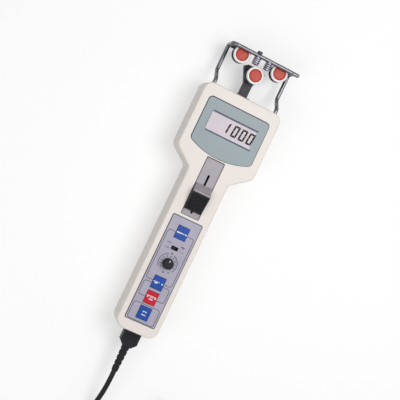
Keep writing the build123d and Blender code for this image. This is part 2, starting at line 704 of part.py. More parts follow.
def roller_brackets():
    """The plates on the guard's legs that carry the outer axles."""
    y = HEAD_TOP + OUTER_ROLLER_UP
    low = REAR_LEG_Z - BRACKET_THICK / 2
    brackets = []
    for side in (-1, 1):
        reach = LEG_X - OUTER_ROLLER_X
        arm_y = HEAD_TOP + CROSSBAR_UP - ROD_BEND_R - SEAT_GAP - BRACKET_ARM / 2
        plate = block(reach, BRACKET_ARM, BRACKET_THICK, side * (OUTER_ROLLER_X + reach / 2), arm_y, low)
        plate += post(BRACKET_R, BRACKET_THICK, side * OUTER_ROLLER_X, y, low)
        plate -= rod_y(ROD_R, 4 * BRACKET_R, side * LEG_X, y - 2 * BRACKET_R, REAR_LEG_Z)
        plate = plate.solids().sort_by(SortBy.VOLUME)[-1]
        brackets.append(plate - post(AXLE_R, BRACKET_THICK, side * OUTER_ROLLER_X, y, low))
    return brackets


def axle(low, shoulder):
    """A roller's axle about Z, with the shoulder that spaces the roller."""
    bearing_low = ROLLER_BACK_Z + FLANGE_THICK
    tip = bearing_low + BEARING_WIDTH + 0.1
    return post(AXLE_R, tip - low, z=low) + post(AXLE_SHOULDER_R, bearing_low - 0.2 - shoulder, z=shoulder)


def outer_axles():
    """The two axles of the outer rollers."""
    low = REAR_LEG_Z - BRACKET_THICK / 2
    pin = axle(low, low + BRACKET_THICK)
    return [Pos(side * OUTER_ROLLER_X, HEAD_TOP + OUTER_ROLLER_UP, 0) * pin for side in (-1, 1)]


def centre_axle():
    """The centre roller's axle in the measuring arm."""
    return Pos(0, HEAD_TOP + CENTRE_ROLLER_UP, 0) * axle(ARM_Z + 1, ARM_TOP_Z)


def roller_hub():
    """The dark grooved hub of a roller, standing on its back face."""
    groove_top = ROLLER_WIDTH - RING_THICK - FLANGE_THICK / 2
    groove_mid = (FLANGE_THICK + groove_top) / 2
    bore = BEARING_R + FIT_GAP
    web = FLANGE_THICK + BEARING_WIDTH + 0.3
    neck = RING_INNER_R - FIT_GAP
    return turned((
        (bore, 0), (ROLLER_R, 0), (ROLLER_R, FLANGE_THICK), (GROOVE_R, groove_mid - GROOVE_FLOOR / 2),
        (GROOVE_R, groove_mid + GROOVE_FLOOR / 2), (ROLLER_R - 0.5, groove_top),
        (ROLLER_R - 0.5, ROLLER_WIDTH - RING_THICK), (neck, ROLLER_WIDTH - RING_THICK),
        (neck, ROLLER_WIDTH - RING_THICK + 0.6), (0, ROLLER_WIDTH - RING_THICK + 0.6), (0, web), (bore, web),
    ))


def roller_ring():
    """The white ring round the front of a roller."""
    low = ROLLER_WIDTH - RING_THICK
    return turned((
        (RING_INNER_R, low), (ROLLER_R, low), (ROLLER_R, ROLLER_WIDTH - 0.5),
        (ROLLER_R - 0.5, ROLLER_WIDTH), (RING_INNER_R, ROLLER_WIDTH),
    ))


def roller_cap():
    """The domed red cap inside the ring."""
    low = ROLLER_WIDTH - RING_THICK + 0.6
    radius = RING_INNER_R - 0.05
    return turned((
        (0, low), (radius, low), (radius, ROLLER_WIDTH - 0.3), (radius * 0.75, ROLLER_WIDTH + CAP_DOME * 0.6),
        (0, ROLLER_WIDTH + CAP_DOME),
    ))


def roller_bearing():
    """The ball bearing in the hub, as one closed ring with its shield steps."""
    bore = AXLE_R + 0.03
    low, high = FLANGE_THICK, FLANGE_THICK + BEARING_WIDTH
    step = 0.25
    return turned((
        (bore, low), (bore + 0.8, low), (bore + 0.8, low + step), (BEARING_R - 0.7, low + step),
        (BEARING_R - 0.7, low), (BEARING_R, low), (BEARING_R, high), (bore, high),
    ))


def guide_posts():
    """The two ribbed posts that hang from the crossbar, seated on the rod."""
    top = HEAD_TOP + CROSSBAR_UP
    low = HEAD_TOP + POST_UP
    height = CROSSBAR_UP - POST_UP
    pitch = (height - ROD_R) / POST_RIBS
    side = [(0, 0)]
    for i in range(POST_RIBS):
        side += [(POST_R - POST_RIB_DEPTH, i * pitch), (POST_R, (i + 0.5) * pitch)]
    side += [(POST_R - POST_RIB_DEPTH, POST_RIBS * pitch), (POST_R - POST_RIB_DEPTH, height), (0, height)]
    ribbed = Rot(-90, 0, 0) * turned(side)
    rod = Rot(0, 90, 0) * Cylinder(ROD_R, 4 * LEG_X)
    posts = []
    for x in (-POST_X, POST_X):
        placed = Pos(x, low, CROSSBAR_Z) * ribbed - Pos(0, top, CROSSBAR_Z) * rod
        posts.append(placed.solids().sort_by(Axis.Y)[0])
    return posts


def post_nut():
    """The small nut above the crossbar, over the left post."""
    top = HEAD_TOP + GUARD_REACH
    nut = Rot(-90, 0, 0) * extrude(RegularPolygon(NUT_R, 6), ROD_R + NUT_HEIGHT)
    nut = Pos(-POST_X, top - ROD_R - NUT_HEIGHT, CROSSBAR_Z) * nut
    rod = Pos(0, HEAD_TOP + CROSSBAR_UP, CROSSBAR_Z) * Rot(0, 90, 0) * Cylinder(ROD_R, 4 * LEG_X)
    return (nut - rod).solids().sort_by(Axis.Y)[-1]


def measuring_arm():
    """The flat arm with the round boss behind the centre roller."""
    up = HEAD_TOP + CENTRE_ROLLER_UP
    length = CENTRE_ROLLER_UP + ARM_FOOT_DOWN
    arm = block(ARM_WIDTH, length, ARM_THICK, y=up - length / 2, z=ARM_Z)
    arm += post(ARM_BOSS_R, ARM_THICK, y=up, z=ARM_Z)
    return arm - post(AXLE_R, ARM_THICK, y=up, z=ARM_Z + 1)


def arm_collar():
    """The collar round the arm on the head's top face."""
    arm_gap = 2 * ARM_SLOT_GAP
    z = ARM_Z + ARM_THICK / 2
    y = HEAD_TOP + COLLAR_Y / 2
    collar = block(COLLAR_X, COLLAR_Y, COLLAR_Z, y=y, z=z - COLLAR_Z / 2)
    return collar - block(ARM_WIDTH + arm_gap, COLLAR_Y + 1, ARM_THICK + arm_gap, y=y, z=ARM_Z - ARM_SLOT_GAP)


def leaf_springs():
    """The two leaves that hold the arm on the spring block."""
    x = -ARM_WIDTH / 2 - LEAF_LENGTH / 2
    z = ARM_Z + ARM_THICK / 2 - LEAF_Z / 2
    return [block(LEAF_LENGTH, LEAF_THICK, LEAF_Z, x, HEAD_TOP - down, z) for down in LEAF_DOWN]


def spring_block():
    """The block on the rear shell that the leaves are fixed to."""
    x = -ARM_WIDTH / 2 - LEAF_LENGTH - SPRING_BLOCK_X / 2
    y = HEAD_TOP - SPRING_BLOCK_DOWN - SPRING_BLOCK_Y / 2
    return block(SPRING_BLOCK_X, SPRING_BLOCK_Y, SPLIT_Z - REAR_WALL, x, y, REAR_WALL)


def load_sensor():
    """The sensor under the arm's foot."""
    y = HEAD_TOP - ARM_FOOT_DOWN - SENSOR_GAP - SENSOR_Y / 2
    return block(SENSOR_X, SENSOR_Y, SENSOR_TOP - REAR_WALL, y=y, z=REAR_WALL)


def battery_cells():
    """Four cells in two rows of two."""
    z = REAR_WALL + CELL_FLOOR_GAP + CELL_R
    cell = rod_y(CELL_R, CELL_LENGTH - CELL_NUB, 0, -CELL_LENGTH, 0)
    cell += rod_y(CELL_NUB_R, CELL_NUB, 0, -CELL_NUB, 0)
    top = HEAD_TOP - CELLS_TOP
    return [Pos(sx * (CELL_R + 0.15), top - row * CELL_LENGTH, z) * cell for sx in (-1, 1) for row in (0, 1)]


def output_socket():
    """The socket in the end wall that the cord plugs into."""
    low = PLUG_Z - SOCKET_Z / 2
    body = block(SOCKET_X, SOCKET_Y, SOCKET_Z, PLUG_X, HANDLE_END + SOCKET_Y / 2, low)
    width, depth, height = SOCKET_X - 2 * SOCKET_WALL, SOCKET_Y - SOCKET_WALL, SOCKET_Z - 2 * SOCKET_WALL
    return body - block(width, depth, height, PLUG_X, HANDLE_END + depth / 2, low + SOCKET_WALL)


def cord_plug():
    """The moulded plug in the handle's end, with grip bars and its nose."""
    half = PLUG_WIDTH / 2
    end = -PLUG_LENGTH
    plan = (
        (-half, 0), (half, 0), (half, end + PLUG_CHAMFER), (half - PLUG_CHAMFER, end),
        (PLUG_CHAMFER - half, end), (-half, end + PLUG_CHAMFER),
    )
    body = extrude(make_face(Polyline(*plan, close=True)), PLUG_HEIGHT / 2, both=True)
    body = fillet(body.edges().filter_by(GeomType.LINE).group_by(Axis.Z)[-1], PLUG_ROUND)
    body = fillet(body.edges().filter_by(GeomType.LINE).group_by(Axis.Z)[0], PLUG_ROUND)
    for i in range(PLUG_GRIP_BARS):
        y = -2.6 - (i + 0.5) * PLUG_BAR_PITCH
        for z in (PLUG_HEIGHT / 2 - PLUG_BAR_DEPTH, -PLUG_HEIGHT / 2):
            body -= block(PLUG_WIDTH * 0.62, PLUG_BAR_Y, PLUG_BAR_DEPTH, 0, y, z)
    body += block(NOSE_X, NOSE_Y + 1, NOSE_Z, 0, (NOSE_Y - 1) / 2, -NOSE_Z / 2)
    return Pos(PLUG_X, HANDLE_END, PLUG_Z) * body


def cord_boot():
    """The tapered strain relief with its ring grooves."""
    pitch = BOOT_LENGTH / (BOOT_RINGS + 1)
    side = [(0, 0), (BOOT_R, 0)]
    for i in range(BOOT_RINGS):
        at = (i + BOOT_FIRST_RING) * pitch
        radius = BOOT_R + (BOOT_END_R - BOOT_R) * at / BOOT_LENGTH
        side += [(radius, at), (radius - BOOT_RING_DEPTH, at), (radius - BOOT_RING_DEPTH, at + pitch / 3)]
        side += [(radius - 0.05, at + pitch / 3)]
    side += [(BOOT_END_R, BOOT_LENGTH), (0, BOOT_LENGTH)]
    return Pos(PLUG_X, HANDLE_END - PLUG_LENGTH, PLUG_Z) * Rot(90, 0, 0) * turned(side)


def route_radii(points):
    """The bend radius at each inner point of a cord's route."""
    spots = [Vector(*p) for p in points]
    radii = []
    for before, at, after in zip(spots, spots[1:], spots[2:]):
        turn = (at - before).get_angle(after - at)
        shorter = min((at - before).length, (after - at).length)
        radii.append(ROUTE_SHARE * shorter / tan(radians(turn) / 2))
    return radii


def cord_tube(points):
    """A cord's plain tube along straight runs joined by tangent arcs."""
    path = FilletPolyline(*points, radius=route_radii(points))
    start = Vector(*points[1]) - Vector(*points[0])
    return sweep(Plane(origin=points[0], z_dir=start.normalized()) * Circle(CORD_R), path=path)


def cord_lead():
    """The lead from the boot down to the coil."""
    return cord_tube(ROUTE)


def cord_tail():
    """The end of the cord from the coil to the far plug."""
    return cord_tube(TAIL)


def cord_coil():
    """The outer form of the put-away coil."""
    ring = turned((
        (COIL_INNER_R, COIL_LOW_Z), (COIL_OUTER_R, COIL_LOW_Z), (COIL_OUTER_R, COIL_HIGH_Z),
        (COIL_INNER_R, COIL_HIGH_Z),
    ))
    ring = chamfer(ring.edges(), COIL_ROUND)
    return Pos(COIL_X, COIL_Y, 0) * ring


def cord_tie():
    """The tie round the coil, on the side away from the meter."""
    middle = (COIL_INNER_R + COIL_OUTER_R) / 2
    width = COIL_OUTER_R - COIL_INNER_R
    height = COIL_HIGH_Z - COIL_LOW_Z
    y = COIL_Y - middle
    band = block(TIE_WIDTH, width + 2 * TIE_THICK, height + 2 * TIE_THICK, COIL_X, y, COIL_LOW_Z - TIE_THICK)
    return band - block(TIE_WIDTH + 1, width, height, COIL_X, y, COIL_LOW_Z) - cord_coil()


def far_plug_grip():
    """The moulded grip of the plug on the cord's far end."""
    side = (
        (0, 0), (FAR_GRIP_NECK_R, 0), (FAR_GRIP_NECK_R + 0.6, FAR_GRIP_LENGTH * 0.35),
        (FAR_GRIP_R - 0.6, FAR_GRIP_LENGTH * 0.45), (FAR_GRIP_R, FAR_GRIP_LENGTH * 0.55),
        (FAR_GRIP_R, FAR_GRIP_LENGTH - 0.8), (FAR_GRIP_R - 0.8, FAR_GRIP_LENGTH), (0, FAR_GRIP_LENGTH),
    )
    x, y, z = TAIL[-1]
    return Pos(x, y, z) * Rot(-90, 0, 0) * turned(side)


def far_plug_shell():
    """The metal shell of the far plug."""
    x, y, z = TAIL[-1]
    start = y + FAR_GRIP_LENGTH
    tube = rod_y(FAR_SHELL_R, FAR_SHELL_LENGTH, x, start, z)
    return tube - rod_y(FAR_SHELL_R - FAR_SHELL_WALL, FAR_SHELL_LENGTH - 1, x, start + 1, z)


ROLLER_SPOTS = {
    "left": (-OUTER_ROLLER_X, HEAD_TOP + OUTER_ROLLER_UP),
    "centre": (0.0, HEAD_TOP + CENTRE_ROLLER_UP),
    "right": (OUTER_ROLLER_X, HEAD_TOP + OUTER_ROLLER_UP),
}
ROLLER_PIECES = {
    "hub": roller_hub, "ring": roller_ring, "cap": roller_cap, "bearing": roller_bearing,
}


def all_nodes():
    """Every node's name and solid."""
    builders = (
        front_case, rear_case, battery_cover, case_screws, display_panel, lcd_module, display_board,
        keypad_panel, keypad_board, main_board, mode_switch, switch_body, potentiometer, adjust_knob,
        slider_channel_plate, slider_plate, thumb_grip, lift_link, carriage_yoke, guard_frame,
        guide_bushes, return_springs, roller_brackets, outer_axles, guide_posts, post_nut,
        measuring_arm, centre_axle, arm_collar, leaf_springs, spring_block, load_sensor,
        battery_cells, output_socket, cord_plug, cord_boot, cord_lead, cord_coil, cord_tail,
        cord_tie, far_plug_grip, far_plug_shell,
    )
    nodes = {build.__name__: build() for build in builders}
    for name, down in KEY_DOWN.items():
        nodes[name] = key(down)
    for place, (x, y) in ROLLER_SPOTS.items():
        for piece, build in ROLLER_PIECES.items():
            nodes[f"{place}_roller_{piece}"] = Pos(x, y, ROLLER_BACK_Z) * build()
    return nodes


def main():
    os.makedirs("parts", exist_ok=True)
    for name, shape in all_nodes().items():
        solids = shape if isinstance(shape, list) else [shape]
        export_step(Compound(children=list(solids)) if len(solids) > 1 else solids[0], f"parts/{name}.step")


main()
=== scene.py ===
import json
import math

import bpy
from mathutils import Matrix, Vector


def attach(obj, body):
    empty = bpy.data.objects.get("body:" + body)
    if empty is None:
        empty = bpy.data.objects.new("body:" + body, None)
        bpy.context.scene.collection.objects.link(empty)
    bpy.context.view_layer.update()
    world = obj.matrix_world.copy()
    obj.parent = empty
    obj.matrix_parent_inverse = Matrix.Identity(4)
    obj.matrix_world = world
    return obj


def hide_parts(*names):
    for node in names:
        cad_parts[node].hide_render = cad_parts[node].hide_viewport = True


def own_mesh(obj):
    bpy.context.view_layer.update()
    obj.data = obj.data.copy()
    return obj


# Hand-held tension meter. Metres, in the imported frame: +X right, +Y towards the rollers,
# +Z out of the display face. Lengths written in millimetres are multiplied by MM.
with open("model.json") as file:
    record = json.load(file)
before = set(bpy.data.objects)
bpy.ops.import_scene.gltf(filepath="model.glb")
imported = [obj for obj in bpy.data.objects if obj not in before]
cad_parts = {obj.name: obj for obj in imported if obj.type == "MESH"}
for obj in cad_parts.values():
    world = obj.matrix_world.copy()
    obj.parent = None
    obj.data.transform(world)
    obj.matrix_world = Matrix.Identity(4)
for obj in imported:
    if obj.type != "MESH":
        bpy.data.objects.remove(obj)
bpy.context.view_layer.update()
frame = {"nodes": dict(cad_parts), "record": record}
nodes = frame["nodes"]

MM = 0.001

# Places in millimetres. UP and DOWN count from the head's top edge, and Z from the case's back.
HEAD_TOP = 100.5
FACE_Z = 36.0
KEYPAD_Z = 36.2
KEY_Z = 37.1
KNOB_Z = 43.0
CROSSBAR_UP = 41.8
CROSSBAR_Z = 33.5
OUTER_ROLLER_X = 20.5
OUTER_ROLLER_UP = 36.3
CENTRE_ROLLER_UP = 24.0
SLIDER_HALF_WIDTH = 8.7
SWITCH_DOWN = 158.0
KNOB_DOWN = 173.7
KEY_DOWN = {"upper_key": 142.0, "middle_key": 194.4, "red_key": 210.0, "lower_key": 226.0}
BOOT_END = (1.5, -189.7, 20.0)
COIL_MIDDLE = (25.5, -299.7)
CORD_DIAMETER = 5.0

# The camera, with the width that it sees at the distance of AIM.
YAW = math.radians(12.5)
ROLL = math.radians(25.5)
LENS = 85.0
SENSOR = 36.0
VIEW_WIDTH = 380.0
AIM = (2.0, -5.6, 36.0)


def add_object(name, data):
    """A new object in the scene."""
    made = bpy.data.objects.new(name, data)
    bpy.context.collection.objects.link(made)
    return made


# Camera, lights and floor

def make_camera():
    """The camera looks at the face from the left, with the body leaning to the right."""
    forward = Vector((math.sin(YAW), 0, -math.cos(YAW)))
    level = Vector((math.cos(YAW), 0, math.sin(YAW)))
    along = Vector((0, 1, 0))
    right = math.cos(ROLL) * level + math.sin(ROLL) * along
    up = -math.sin(ROLL) * level + math.cos(ROLL) * along
    data = bpy.data.cameras.new("camera")
    data.lens, data.sensor_width = LENS, SENSOR
    data.clip_start, data.clip_end = 0.01, 20
    camera = add_object("camera", data)
    distance = VIEW_WIDTH * MM * LENS / SENSOR
    turn = Matrix((right, up, -forward)).transposed().to_4x4()
    camera.matrix_world = Matrix.Translation(Vector(AIM) * MM - forward * distance) @ turn
    bpy.context.scene.camera = camera


def make_light(name, place, size, power, aim=(0, 0, 0.02)):
    data = bpy.data.lights.new(name, "AREA")
    data.shape, data.size, data.energy = "DISK", size, power
    light = add_object(name, data)
    light.location = place
    light.rotation_euler = (Vector(aim) - Vector(place)).to_track_quat("-Z", "Y").to_euler()


def seen_directly(tree):
    """1 for rays from the camera, and for those that gloss or glass sends on."""
    path = tree.nodes.new("ShaderNodeLightPath")
    seen = path.outputs["Is Camera Ray"]
    for kind in ("Is Glossy Ray", "Is Transmission Ray"):
        either = tree.nodes.new("ShaderNodeMath")
        either.operation = "MAXIMUM"
        tree.links.new(seen, either.inputs[0])
        tree.links.new(path.outputs[kind], either.inputs[1])
        seen = either.outputs[0]
    return seen


def make_world(strength):
    """Even light of one strength, which looks white where it is seen directly."""
    world = bpy.data.worlds.new("studio")
    world.use_nodes = True
    bpy.context.scene.world = world
    tree = world.node_tree
    tree.nodes.clear()
    out = tree.nodes.new("ShaderNodeOutputWorld")
    soft = tree.nodes.new("ShaderNodeBackground")
    soft.inputs["Color"].default_value = (1, 1, 1, 1)
    soft.inputs["Strength"].default_value = strength
    white = tree.nodes.new("ShaderNodeBackground")
    white.inputs["Color"].default_value = (1, 1, 1, 1)
    mix = tree.nodes.new("ShaderNodeMixShader")
    tree.links.new(seen_directly(tree), mix.inputs["Fac"])
    tree.links.new(soft.outputs[0], mix.inputs[1])
    tree.links.new(white.outputs[0], mix.inputs[2])
    tree.links.new(mix.outputs[0], out.inputs["Surface"])


def make_floor(shade, glow):
    """A plain pale floor that keeps shadows, and glows a little where it is seen directly."""
    half = 3.0
    corners = [(-half, -half, 0), (half, -half, 0), (half, half, 0), (-half, half, 0)]
    mesh = bpy.data.meshes.new("floor")
    mesh.from_pydata(corners, [], [(0, 1, 2, 3)])
    floor = add_object("floor", mesh)
    material = bpy.data.materials.new("floor_white")
    material.use_nodes = True
    tree = material.node_tree
    tree.nodes.clear()
    out = tree.nodes.new("ShaderNodeOutputMaterial")
    matt = tree.nodes.new("ShaderNodeBsdfDiffuse")
    matt.inputs["Color"].default_value = (shade, shade, shade, 1)
    light = tree.nodes.new("ShaderNodeEmission")
    strength = tree.nodes.new("ShaderNodeMath")
    strength.operation = "MULTIPLY"
    strength.inputs[1].default_value = glow
    add = tree.nodes.new("ShaderNodeAddShader")
    tree.links.new(seen_directly(tree), strength.inputs[0])
    tree.links.new(strength.outputs[0], light.inputs["Strength"])
    tree.links.new(matt.outputs[0], add.inputs[0])
    tree.links.new(light.outputs[0], add.inputs[1])
    tree.links.new(add.outputs[0], out.inputs["Surface"])
    mesh.materials.append(material)


# Materials

def make_material(
    name, color, rough, metal=0.0, vary=0.05, vary_mm=12.0, grain_mm=0.5, grain=0.08,
    rough_vary=0.08, coat=0.0, specular=0.5, brushed=None, dust=0.0,
):
    """A surface with broad colour variation, fine grain and uneven gloss.

    brushed stretches the grain along an axis, and dust lightens it in specks.
    """
    material = bpy.data.materials.new(name)
    material.use_nodes = True
    add, link = material.node_tree.nodes.new, material.node_tree.links.new
    shader = material.node_tree.nodes["Principled BSDF"]
    shader.inputs["Metallic"].default_value = metal
    shader.inputs["Specular IOR Level"].default_value = specular
    shader.inputs["Coat Weight"].default_value = coat
    shader.inputs["Coat Roughness"].default_value = 0.12
    place = add("ShaderNodeTexCoord")
    stretched = add("ShaderNodeMapping")
    if brushed:
        stretched.inputs["Scale"].default_value = brushed
    link(place.outputs["Object"], stretched.inputs["Vector"])

    broad = add("ShaderNodeTexNoise")
    broad.inputs["Scale"].default_value = 1 / (vary_mm * MM)
    broad.inputs["Detail"].default_value = 4
    link(place.outputs["Object"], broad.inputs["Vector"])
    ramp = add("ShaderNodeValToRGB")
    dark, light = ramp.color_ramp.elements
    dark.position, light.position = 0.3, 0.7
    dark.color = (*[c * (1 - vary) for c in color], 1)
    light.color = (*[min(1.0, c * (1 + vary)) for c in color], 1)
    link(broad.outputs["Fac"], ramp.inputs["Fac"])
    tint = ramp.outputs["Color"]

    fine = add("ShaderNodeTexNoise")
    fine.inputs["Scale"].default_value = 1 / (grain_mm * MM)
    fine.inputs["Detail"].default_value = 3
    link(stretched.outputs["Vector"], fine.inputs["Vector"])
    if dust:
        speck = add("ShaderNodeMapRange")
        speck.inputs["From Min"].default_value = 0.55
        speck.inputs["From Max"].default_value = 0.8
        speck.inputs["To Max"].default_value = dust
        link(fine.outputs["Fac"], speck.inputs["Value"])
        mix = add("ShaderNodeMix")
        mix.data_type = "RGBA"
        mix.inputs[7].default_value = (0.62, 0.60, 0.57, 1)
        link(speck.outputs["Result"], mix.inputs[0])
        link(tint, mix.inputs[6])
        tint = mix.outputs[2]
    link(tint, shader.inputs["Base Color"])

    gloss = add("ShaderNodeMapRange")
    gloss.inputs["To Min"].default_value = max(0.02, rough - rough_vary)
    gloss.inputs["To Max"].default_value = min(1.0, rough + rough_vary)
    link(broad.outputs["Fac"], gloss.inputs["Value"])
    link(gloss.outputs["Result"], shader.inputs["Roughness"])

    bump = add("ShaderNodeBump")
    bump.inputs["Strength"].default_value = grain
    bump.inputs["Distance"].default_value = grain_mm * MM * 0.4
    link(fine.outputs["Fac"], bump.inputs["Height"])
    link(bump.outputs["Normal"], shader.inputs["Normal"])
    return material


# Each material's colour, roughness and what else it needs. The inks, which also colour the painted
# shade lines, and the posts' steel are for pieces of this script only, and the rest are the
# record's material slots.
LOOKS = {
    "case_ivory": (
        (0.85, 0.79, 0.745), 0.42, dict(vary=0.02, grain_mm=0.35, grain=0.12, specular=0.4)),
    "panel_blue_grey": (
        (0.305, 0.365, 0.395), 0.36, dict(grain_mm=0.25, grain=0.06, specular=0.35)),
    "lcd_grey": ((0.565, 0.50, 0.55), 0.3, dict(grain_mm=0.2, grain=0.01, coat=0.1)),
    "keypad_lilac": (
        (0.43, 0.405, 0.50), 0.38, dict(grain_mm=0.25, grain=0.07, specular=0.35)),
    "key_blue": (
        (0.012, 0.072, 0.36), 0.35, dict(vary=0.1, grain_mm=0.3, grain=0.06, specular=0.22)),
    "key_red": (
        (0.56, 0.010, 0.032), 0.35, dict(vary=0.1, grain_mm=0.3, grain=0.06, specular=0.22)),
    "channel_metal": (
        (0.345, 0.315, 0.35), 0.42,
        dict(metal=0.1, vary=0.08, vary_mm=7, grain_mm=0.3, grain=0.14, brushed=(1, 0.08, 1),
             specular=0.4)),
    "chrome_rod": (
        (0.15, 0.145, 0.16), 0.15, dict(metal=1, vary=0.3, vary_mm=5, grain=0.02, rough_vary=0.05)),
    "steel": (
        (0.42, 0.41, 0.43), 0.28, dict(metal=1, vary=0.15, vary_mm=4, grain_mm=0.3, grain=0.1)),
    "post_steel": (
        (0.30, 0.29, 0.34), 0.2, dict(metal=1, vary=0.45, vary_mm=2.0, grain_mm=0.3)),
    "dark_steel": (
        (0.045, 0.041, 0.048), 0.45,
        dict(metal=0.1, vary=0.3, vary_mm=4, grain_mm=0.3, grain=0.14, specular=0.25)),
    "black_plastic": (
        (0.011, 0.011, 0.013), 0.42,
        dict(vary=0.2, grain_mm=0.35, grain=0.14, dust=0.025, specular=0.18)),
    "black_rubber": (
        (0.012, 0.012, 0.014), 0.55,
        dict(vary=0.2, grain_mm=0.4, grain=0.16, dust=0.03, specular=0.18)),
    "roller_white": ((0.74, 0.735, 0.745), 0.25, dict(vary=0.03, grain=0.03, coat=0.2)),
    "roller_red": (
        (0.52, 0.055, 0.032), 0.36, dict(vary=0.1, grain_mm=0.3, grain=0.06, specular=0.3)),
    "brass": ((0.62, 0.45, 0.2), 0.28, dict(metal=1, grain=0.05)),
    "board_green": ((0.03, 0.17, 0.08), 0.35, dict(vary=0.12, vary_mm=3, grain=0.05)),
    "cell_wrap": ((0.10, 0.11, 0.13), 0.22, dict(vary=0.1, grain=0.02, coat=0.3)),
    # The black and grey inks colour printed marks and also painted shade lines round recesses.
    "ink_and_shade_black": ((0.006, 0.006, 0.008), 0.45, dict(vary=0.1, grain=0.02, specular=0.15)),
    "ink_blue": ((0.012, 0.014, 0.075), 0.45, dict(vary=0.1, grain=0.02, specular=0.2)),
    "ink_and_shade_grey": ((0.035, 0.035, 0.055), 0.5, dict(vary=0.15, grain=0.03, specular=0.2)),
    "ink_white": ((0.72, 0.73, 0.78), 0.45, dict(vary=0.03, grain=0.03)),
    "ink_red": ((0.36, 0.10, 0.13), 0.45, dict(vary=0.08, grain=0.03)),
}
MATERIALS = {
    name: make_material(name, color, rough, **more) for name, (color, rough, more) in LOOKS.items()
}


def dress_nodes():
    for part in frame["record"]["subparts"]:
        node = nodes[part["node"]]
        node.data.materials.clear()
        node.data.materials.append(MATERIALS[part["material_slot"]])


# Outlines of (x, y) corners in millimetres

def from_top(down):
    """The y of a distance below the head's top edge."""
    return HEAD_TOP - down


def bar(x, y, width, height):
    """A bar's corners round the point x, y."""
    a, b = width / 2, height / 2
    return [(x - a, y - b), (x + a, y - b), (x + a, y + b), (x - a, y + b)]


def arc(x, y, radius, start, end, steps):
    """Points on an arc, with its angles in degrees."""
    angles = [math.radians(start + (end - start) * i / steps) for i in range(steps + 1)]
    return [(x + radius * math.cos(a), y + radius * math.sin(a)) for a in angles]


def rounded_box(x, y, width, height, radius, steps=6):
    """A rounded rectangle's outline round the point x, y, anticlockwise."""
    a, b = width / 2 - radius, height / 2 - radius
    loop = []
    for i, (sx, sy) in enumerate(((1, 1), (-1, 1), (-1, -1), (1, -1))):
        loop += arc(x + sx * a, y + sy * b, radius, 90 * i, 90 * i + 90, steps)
    return loop


def rounded_loop(corners, radius, steps=6):
    """An anticlockwise outline with its sharp corners rounded."""
    nearly_straight = 2.8
    loop = []
    for before, here, after in zip(corners[-1:] + corners[:-1], corners, corners[1:] + corners[:1]):
        here = Vector(here)
        back, on = (Vector(before) - here).normalized(), (Vector(after) - here).normalized()
        angle = back.angle(on)
        if angle > nearly_straight:
            loop.append(tuple(here))
            continue
        middle = here + (back + on).normalized() * radius / math.sin(angle / 2)
        reach = radius / math.tan(angle / 2)
        first, last = here + back * reach - middle, here + on * reach - middle
        start = math.degrees(math.atan2(first.y, first.x))
        turn = (math.degrees(math.atan2(last.y, last.x)) - start) % 360
        loop += arc(middle.x, middle.y, radius, start, start + turn, steps)
    return loop


def spread(loop, by, shift=(0.0, 0.0)):
    """An anticlockwise outline grown by a distance and shifted, with as many corners."""
    grown = []
    for before, here, after in zip(loop[-1:] + loop[:-1], loop, loop[1:] + loop[:1]):
        dx, dy = after[0] - before[0], after[1] - before[1]
        size = math.hypot(dx, dy)
        grown.append((here[0] + by * dy / size + shift[0], here[1] - by * dx / size + shift[1]))
    return grown


def mirrored(outline):
    """An outline's corners on the other side of the middle plane."""
    return [(-x, y) for x, y in reversed(outline)]


# Forms: the points and faces of closed shapes, in millimetres

def joined(forms):
    """Several forms as one."""
    points, faces = [], []
    for more_points, more_faces in forms:
        faces += [[len(points) + i for i in face] for face in more_faces]
        points += more_points
    return points, faces


def prism(outline, low, high):
    """An outline between two heights."""
    pairs = zip(outline, outline[1:] + outline[:1])
    anticlockwise = sum(a[0] * b[1] - b[0] * a[1] for a, b in pairs) > 0
    corners = outline if anticlockwise else outline[::-1]
    count = len(corners)
    points = [(x, y, z) for z in (low, high) for x, y in corners]
    faces = [list(reversed(range(count))), list(range(count, 2 * count))]
    faces += [[i, (i + 1) % count, (i + 1) % count + count, i + count] for i in range(count)]
    return points, faces


def prisms(outlines, low, high):
    return joined([prism(outline, low, high) for outline in outlines])


def ribbon(line, width, low, high):
    """A raised line of one width along an open path."""
    points, last = [], len(line) - 1
    for i, (x, y) in enumerate(line):
        a, b = line[max(i - 1, 0)], line[min(i + 1, last)]
        dx, dy = b[0] - a[0], b[1] - a[1]
        size = math.hypot(dx, dy) * 2 / width
        left, right = (x - dy / size, y + dx / size), (x + dy / size, y - dx / size)
        points += [(*left, low), (*right, low), (*right, high), (*left, high)]
    faces = [[0, 1, 2, 3], [4 * last + 3 - j for j in range(4)]]
    for a in range(0, 4 * last, 4):
        b = a + 4
        faces += [[a + j, b + j, b + (j + 1) % 4, a + (j + 1) % 4] for j in range(4)]
    return points, faces


def ribbons(lines, width, low, high):
    return joined([ribbon(line, width, low, high) for line in lines])


def ring_line(loop, out, inward, shift, low, high):
    """A thin closed line, from a distance outside an outline to one inside it.

    The inner edge is shifted, so that the line is thicker on one side: painted shade, as the shade
    in a lit groove falls on one side.
    """
    outer, inner = spread(loop, out), spread(loop, -inward, shift)
    count = len(loop)
    points = [(x, y, z) for z in (low, high) for edge in (outer, inner) for x, y in edge]
    a, b, c, d = 0, count, 2 * count, 3 * count
    faces = []
    for i in range(count):
        j = (i + 1) % count
        faces += [
            [a + j, a + i, b + i, b + j], [c + i, c + j, d + j, d + i],
            [a + i, a + j, c + j, c + i], [b + j, b + i, d + i, d + j],
        ]
    return points, faces


def side_form(profile, half_width):
    """A form with one side profile of (distance below the head's top, height) all across."""
    count = len(profile)
    points = [(x, from_top(down), z) for x in (-half_width, half_width) for down, z in profile]
    faces = [list(range(count)), [count + i for i in reversed(range(count))]]
    faces += [[i, i + count, (i + 1) % count + count, (i + 1) % count] for i in range(count)]
    return points, faces


